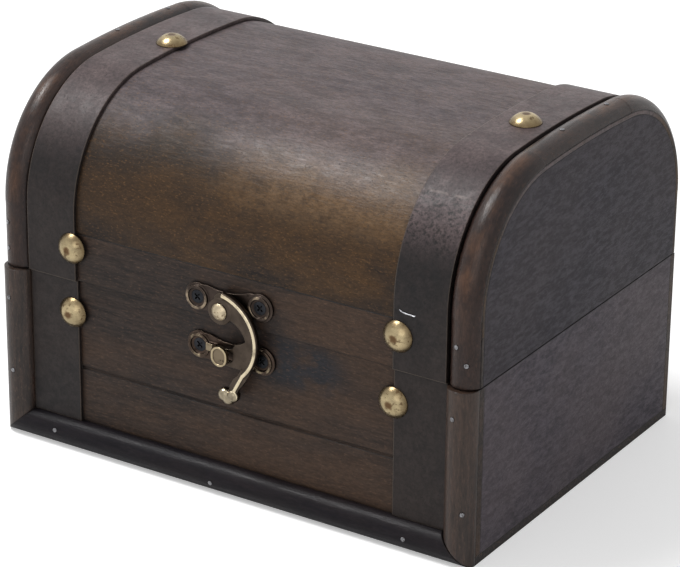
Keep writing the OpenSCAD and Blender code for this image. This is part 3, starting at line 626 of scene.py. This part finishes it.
# %% The aged metal finish
def aged_metal(name, body, bright, spots, edge_width, edge_gain, roughness, spot_scale,
               spot_low, proud=(), extra=None):
    """proud lists how far forward rubbed faces begin and end, how bright and how even."""
    finish, tree, surface, where = start_finish(name, metallic=1.0)
    edges = place_group(tree, edge_finder, Width=edge_width)
    crevice_shade = place_group(tree, crevice_shade_finder, Reach=1.2 * MM)["Crevice Shade"]
    blotch = spread(tree, noise(tree, where, spot_scale, 3.0, 0.6), spot_low, spot_low + 0.12)
    drift = noise(tree, where, spot_scale * 0.3, 3.0, 0.6)
    tone = blend_colour(tree, spread(tree, drift, 0.35, 0.65), body, tinted(body, 1.5))
    polish = times(tree, edges["Edge"], edge_gain)
    forward = times(tree, axis_of(tree, where, "Y"), -1.0)
    for start, stop, amount, even in proud:
        rubbed = spread(tree, drift, 0.50 - 0.22 * even, 0.62 - 0.10 * even, 0.4 * even, 1.0)
        face = near(tree, forward, (start + stop) / 2, (stop - start) / 2, 0.12 * MM)
        polish = math_node(tree, "MAXIMUM", polish, times(tree, face, rubbed, amount))
    tone = blend_colour(tree, polish, tone, bright)
    if extra is not None:
        tone, blotch = extra(tree, where, tone, blotch)
    tone = blend_colour(tree, times(tree, blotch, 0.75), tone, spots)
    # Painted shade: the hollows of the metal turn dark where their surroundings hide them.
    tone = blend_colour(tree, times(tree, crevice_shade, 0.85), tone, tinted(spots, 0.2))
    join(tree, tone, surface.inputs["Base Color"])
    polished = math_node(tree, "ADD", roughness, times(tree, polish, -0.08))
    rough = math_node(tree, "ADD", times(tree, blotch, 0.2), polished, clamp=True)
    join(tree, rough, surface.inputs["Roughness"])
    bump(tree, surface, drift, 0.2, 0.08 * MM, edges["Soft Normal"])
    return finish


def tack_tarnish_and_reflection(tree, where, tone, blotch):
    """A brown dent in the middle of each tack head, and darker towards its rim: tarnish at the
    rim and a painted reflection of the dark wood over the outer half.
    """
    radius = add_node(tree, "ShaderNodeAttribute", attribute_name="from_middle")
    ragged = times(tree, math_node(tree, "SUBTRACT", noise(tree, where, 900.0, 3.0), 0.5), 0.3)
    reach = math_node(tree, "ADD", radius.outputs["Fac"], ragged)
    # Painted reflection with tarnish: darker from half the radius out to the rim.
    rim = spread(tree, reach, 0.45, 1.0, 0.0, 0.85)
    tone = blend_colour(tree, rim, tone, (0.115, 0.078, 0.040))
    rust = spread(tree, reach, 0.12, 0.34, 0.9, 0.0)
    tone = blend_colour(tree, rust, tone, (0.130, 0.070, 0.034))
    dent = spread(tree, reach, 0.08, 0.30, 0.6, 0.0)
    return tone, math_node(tree, "MAXIMUM", blotch, dent)


print("aged metal ready")

# %% Mix the metals
tack_brass = aged_metal(
    "tack_brass", (0.33, 0.265, 0.155), (0.52, 0.45, 0.30), (0.080, 0.045, 0.022),
    edge_width=0.4 * MM, edge_gain=0.3, roughness=0.27, spot_scale=650.0, spot_low=0.56,
    extra=tack_tarnish_and_reflection)
plate_bronze = aged_metal(
    "plate_bronze", (0.040, 0.030, 0.025), (0.42, 0.33, 0.23), (0.018, 0.013, 0.011),
    edge_width=0.22 * MM, edge_gain=0.55, roughness=0.38, spot_scale=600.0, spot_low=0.60,
    proud=[(0.05580, 0.05600, 0.65, 0)])
catch_bronze = aged_metal(
    "catch_bronze", (0.050, 0.035, 0.027), (0.50, 0.41, 0.26), (0.022, 0.015, 0.012),
    edge_width=0.22 * MM, edge_gain=0.55, roughness=0.36, spot_scale=600.0, spot_low=0.60,
    proud=[(0.05490, 0.05510, 0.60, 0), (0.05530, 0.05840, 0.40, 1),
           (0.05860, 0.05880, 0.25, 1), (0.05905, 0.05935, 0.80, 1)])
hook_bronze = aged_metal(
    "hook_bronze", (0.052, 0.040, 0.031), (0.70, 0.60, 0.42), (0.030, 0.021, 0.016),
    edge_width=0.25 * MM, edge_gain=0.40, roughness=0.32, spot_scale=700.0, spot_low=0.64,
    proud=[(0.05788, 0.05808, 1.0, 1), (0.05822, 0.05930, 0.42, 1)])
rivet_brass = aged_metal(
    "rivet_brass", (0.42, 0.35, 0.24), (0.66, 0.58, 0.42), (0.17, 0.115, 0.065),
    edge_width=0.3 * MM, edge_gain=0.4, roughness=0.36, spot_scale=1100.0, spot_low=0.52)
screw_black = aged_metal(
    "screw_black", (0.022, 0.023, 0.026), (0.11, 0.11, 0.12), (0.010, 0.009, 0.008),
    edge_width=0.12 * MM, edge_gain=0.4, roughness=0.40, spot_scale=1500.0, spot_low=0.62)
brad_steel = aged_metal(
    "brad_steel", (0.20, 0.20, 0.21), (0.45, 0.45, 0.47), (0.07, 0.06, 0.055),
    edge_width=0.2 * MM, edge_gain=0.3, roughness=0.45, spot_scale=2500.0, spot_low=0.50)
wire_steel = aged_metal(
    "wire_steel", (0.36, 0.36, 0.38), (0.60, 0.60, 0.62), (0.14, 0.13, 0.12),
    edge_width=0.2 * MM, edge_gain=0.3, roughness=0.40, spot_scale=2500.0, spot_low=0.60)
hinge_brass = aged_metal(
    "hinge_brass", (0.26, 0.20, 0.11), (0.55, 0.45, 0.27), (0.10, 0.066, 0.036),
    edge_width=0.3 * MM, edge_gain=0.6, roughness=0.36, spot_scale=800.0, spot_low=0.60)
paint(["hook_rivet"], rivet_brass)
paint(["catch_screws", "hook_plate_screws"], screw_black)
paint(["base_brads", "lid_brads"], brad_steel)
paint(["left_hinge_base_leaf", "right_hinge_base_leaf", "left_hinge_lid_leaf",
       "right_hinge_lid_leaf", "left_hinge_pin", "right_hinge_pin",
       "base_hinge_brads", "lid_hinge_brads"], hinge_brass)

# %% [markdown]
# ## The tacks
#
# Each tack is stamped from thin brass: a shallow dome with a turned-down rim and a
# small dent where the tool pressed it onto its shank. A profile could be spun about
# its axis, but a ball that is cut flat gives the true curve of the dome at once. One
# tack is modelled upright at the origin, and its copies are then set on the places
# where the tacks of the CAD model sit. An attribute keeps how far each point lies from
# the middle, so that the finish can tarnish the dent.

# %% Model one tack
TACK_R, TACK_H = 4.5 * MM, 2.6 * MM
SHANK_R, SHANK_LEN = 0.8 * MM, 3.4 * MM
ball_r = (TACK_R ** 2 + TACK_H ** 2) / (2 * TACK_H)
clear_selection()
bpy.ops.mesh.primitive_uv_sphere_add(segments=48, ring_count=40, radius=ball_r,
                                     location=(0, 0, TACK_H - ball_r))
tack = bpy.context.object
tack.name = "tack_pattern"
bpy.ops.object.transform_apply(location=True, rotation=True, scale=True)
bpy.ops.object.mode_set(mode="EDIT")
bpy.ops.mesh.select_all(action="SELECT")
bpy.ops.mesh.bisect(plane_co=(0, 0, 0), plane_no=(0, 0, 1), clear_inner=True, use_fill=True)
bpy.ops.mesh.inset(thickness=TACK_R - SHANK_R, depth=0)
bpy.ops.mesh.extrude_region_move(TRANSFORM_OT_translate={"value": (0, 0, -SHANK_LEN)})
bpy.ops.object.mode_set(mode="OBJECT")
print("tack", [round(side / MM, 2) for side in tack.dimensions], "mm")

# %% Dent and rim of the tack
DENT_REACH, DENT_DEPTH, RIM_ROUND = 1.7 * MM, 0.22 * MM, 0.14 * MM


def pick(piece, kind, test):
    """Select the points or edges of a piece that pass a test, and enter edit mode."""
    bpy.ops.object.mode_set(mode="EDIT")
    bpy.ops.mesh.select_mode(type=kind)
    bpy.ops.mesh.select_all(action="DESELECT")
    bpy.ops.object.mode_set(mode="OBJECT")
    points = piece.data.vertices
    if kind == "VERT":
        for point in points:
            point.select = test(point.co)
    else:
        for edge in piece.data.edges:
            edge.select = all(test(points[number].co) for number in edge.vertices)
    bpy.ops.object.mode_set(mode="EDIT")


def on_tip(co):
    return co.z > TACK_H - 0.02 * MM


def on_rim(co):
    return abs(co.z) < 0.01 * MM and math.hypot(co.x, co.y) > 0.95 * TACK_R


pick(tack, "VERT", on_tip)
bpy.ops.transform.translate(value=(0, 0, -DENT_DEPTH), use_proportional_edit=True,
                            proportional_edit_falloff="SMOOTH", proportional_size=DENT_REACH)
bpy.ops.object.mode_set(mode="OBJECT")
pick(tack, "EDGE", on_rim)
bpy.ops.mesh.bevel(offset=RIM_ROUND, segments=2)
bpy.ops.object.mode_set(mode="OBJECT")
print("top of the tack", round(max(point.co.z for point in tack.data.vertices) / MM, 2), "mm")

# %% Finish the tack
# The attribute also lets the finish paint the dome darker towards its rim, as a reflection.
from_middle = tack.data.attributes.new("from_middle", "FLOAT", "POINT")
for vertex in tack.data.vertices:
    from_middle.data[vertex.index].value = math.hypot(vertex.co.x, vertex.co.y) / TACK_R
tack.data.materials.append(tack_brass)
clear_selection()
tack.select_set(True)
bpy.context.view_layer.objects.active = tack
bpy.ops.object.shade_smooth_by_angle(angle=math.radians(40))
print("points", len(tack.data.vertices))

# %% Set the tacks
FRONT, BACK = -1, 1
FACE_BASE, FACE_LID = 54.5, 55.45        # outer faces of the bands, mm from the middle
CROWN_SEAT, CROWN_R = 103.55, 363.45     # top of the bands and their radius there, mm
BASE_TACK_Z, LID_TACK_Z = 40.5, 59.8     # heights of the tacks on the walls, mm
QUARTER_TURN, TURN_EACH = math.pi / 2, 1.1         # radians; no two tacks lie alike


def on_wall(x, out, z, side):
    """A place in mm on the front or the back, with up turned to point out of the wall."""
    place = Matrix.Translation(Vector((x, side * out, z)) * MM)
    return place @ Matrix.Rotation(-side * QUARTER_TURN, 4, "X")


def on_crown(x, y):
    """A place in mm on the crown of the lid, leaning as the crown does there."""
    lean = math.asin(-y / CROWN_R)
    middle = Matrix.Translation(Vector((x, 0, CROWN_SEAT - CROWN_R)) * MM)
    return middle @ Matrix.Rotation(lean, 4, "X") @ Matrix.Translation((0, 0, CROWN_R * MM))


def set_tacks(name, places, body, node):
    clear_selection()
    for number, place in enumerate(places):
        copy = bpy.data.objects.new(name, tack.data.copy())
        bpy.context.scene.collection.objects.link(copy)
        copy.data.transform(place @ Matrix.Rotation(TURN_EACH * number, 4, "Z"))
        copy.select_set(True)
        bpy.context.view_layer.objects.active = copy
    bpy.ops.object.join()
    heads = bpy.context.object
    heads.name = name
    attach(heads, body)
    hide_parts(node)
    print(name, len(places), "tacks")


base_places = [on_wall(x, FACE_BASE, BASE_TACK_Z, FRONT) for x in (-52.2, 50.2)]
lid_places = [on_wall(x, FACE_LID, LID_TACK_Z, side)
              for side in (FRONT, BACK) for x in (-51.4, 51.8)]
lid_places += [on_crown(x, -5.2) for x in (-53.4, 58.9)]
set_tacks("base_tack_heads", base_places, "base", "base_tacks")
set_tacks("lid_tack_heads", lid_places, "lid", "lid_tacks")
bpy.data.objects.remove(tack)

# %% [markdown]
# ## The cast latch
#
# The hook and both plates are zinc castings. A casting has no sharp inner or outer
# corner, because metal does not fill one. The CAD solids have the right outline but
# crisp corners. A bevel would round them, but it fails where many edges meet, so a copy
# of each is merged, rebuilt on a fine grid and smoothed a little instead, which melts
# every corner by a tenth of a millimetre.

# %% Cast copies of the latch parts
GRID, MELT_ROUNDS = 0.13 * MM, 4


def cast_copy(node_name, piece_name, body, finish):
    clear_selection()
    source = nodes[node_name]
    source.select_set(True)
    bpy.context.view_layer.objects.active = source
    bpy.ops.object.duplicate()
    piece = bpy.context.object
    piece.name = piece_name
    piece.parent = None
    bpy.ops.object.mode_set(mode="EDIT")
    bpy.ops.mesh.select_all(action="SELECT")
    bpy.ops.mesh.remove_doubles(threshold=0.002 * MM)
    bpy.ops.mesh.normals_make_consistent(inside=False)
    bpy.ops.object.mode_set(mode="OBJECT")
    grid = piece.modifiers.new("grid", "REMESH")
    grid.mode, grid.voxel_size = "VOXEL", GRID
    melt = piece.modifiers.new("melt", "SMOOTH")
    melt.factor, melt.iterations = 0.5, MELT_ROUNDS
    for modifier in ("grid", "melt"):
        bpy.ops.object.modifier_apply(modifier=modifier)
    piece.data.materials.clear()
    piece.data.materials.append(finish)
    piece.data.shade_smooth()
    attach(piece, body)
    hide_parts(node_name)
    print(piece_name, len(piece.data.polygons), "faces")


cast_copy("latch_hook", "cast_hook", "hook", hook_bronze)
cast_copy("hook_plate", "cast_hook_plate", "lid", plate_bronze)
cast_copy("catch_plate", "cast_catch_plate", "base", catch_bronze)

# %% [markdown]
# ## A loose brad
#
# A bent brad lies half pressed into the right band of the lid, above its tack. A curve
# with a round section would do for it, but it is so short that it is drawn as wire is
# drawn: a small round face is pushed along its path in steps.

# %% Draw the loose brad
WIRE_R = 0.18 * MM
wire_path = [Vector(point) * MM for point in
             ((52.2, -55.5, 67.3), (52.9, -55.55, 66.95), (54.2, -55.6, 66.7),
              (55.6, -55.6, 66.65), (56.6, -55.5, 66.5), (56.9, -55.45, 66.75))]
clear_selection()
bpy.ops.mesh.primitive_circle_add(vertices=10, radius=WIRE_R, fill_type="NGON",
                                  location=wire_path[0], rotation=(0, QUARTER_TURN, 0))
wire = bpy.context.object
wire.name = "loose_brad"
bpy.ops.object.mode_set(mode="EDIT")
bpy.ops.mesh.select_all(action="SELECT")
for start, stop in zip(wire_path, wire_path[1:]):
    bpy.ops.mesh.extrude_region_move(TRANSFORM_OT_translate={"value": stop - start})
bpy.ops.mesh.select_all(action="SELECT")
bpy.ops.mesh.normals_make_consistent(inside=False)
bpy.ops.object.mode_set(mode="OBJECT")
bpy.ops.object.transform_apply(location=True, rotation=True, scale=True)
wire.data.materials.append(wire_steel)
wire.data.shade_smooth()
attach(wire, "lid")
print("wire", round(sum((b - a).length for a, b in zip(wire_path, wire_path[1:])) / MM, 1), "mm")

# %% Set the view transform
bpy.context.scene.view_settings.view_transform = "Standard"
bpy.context.view_layer.update()
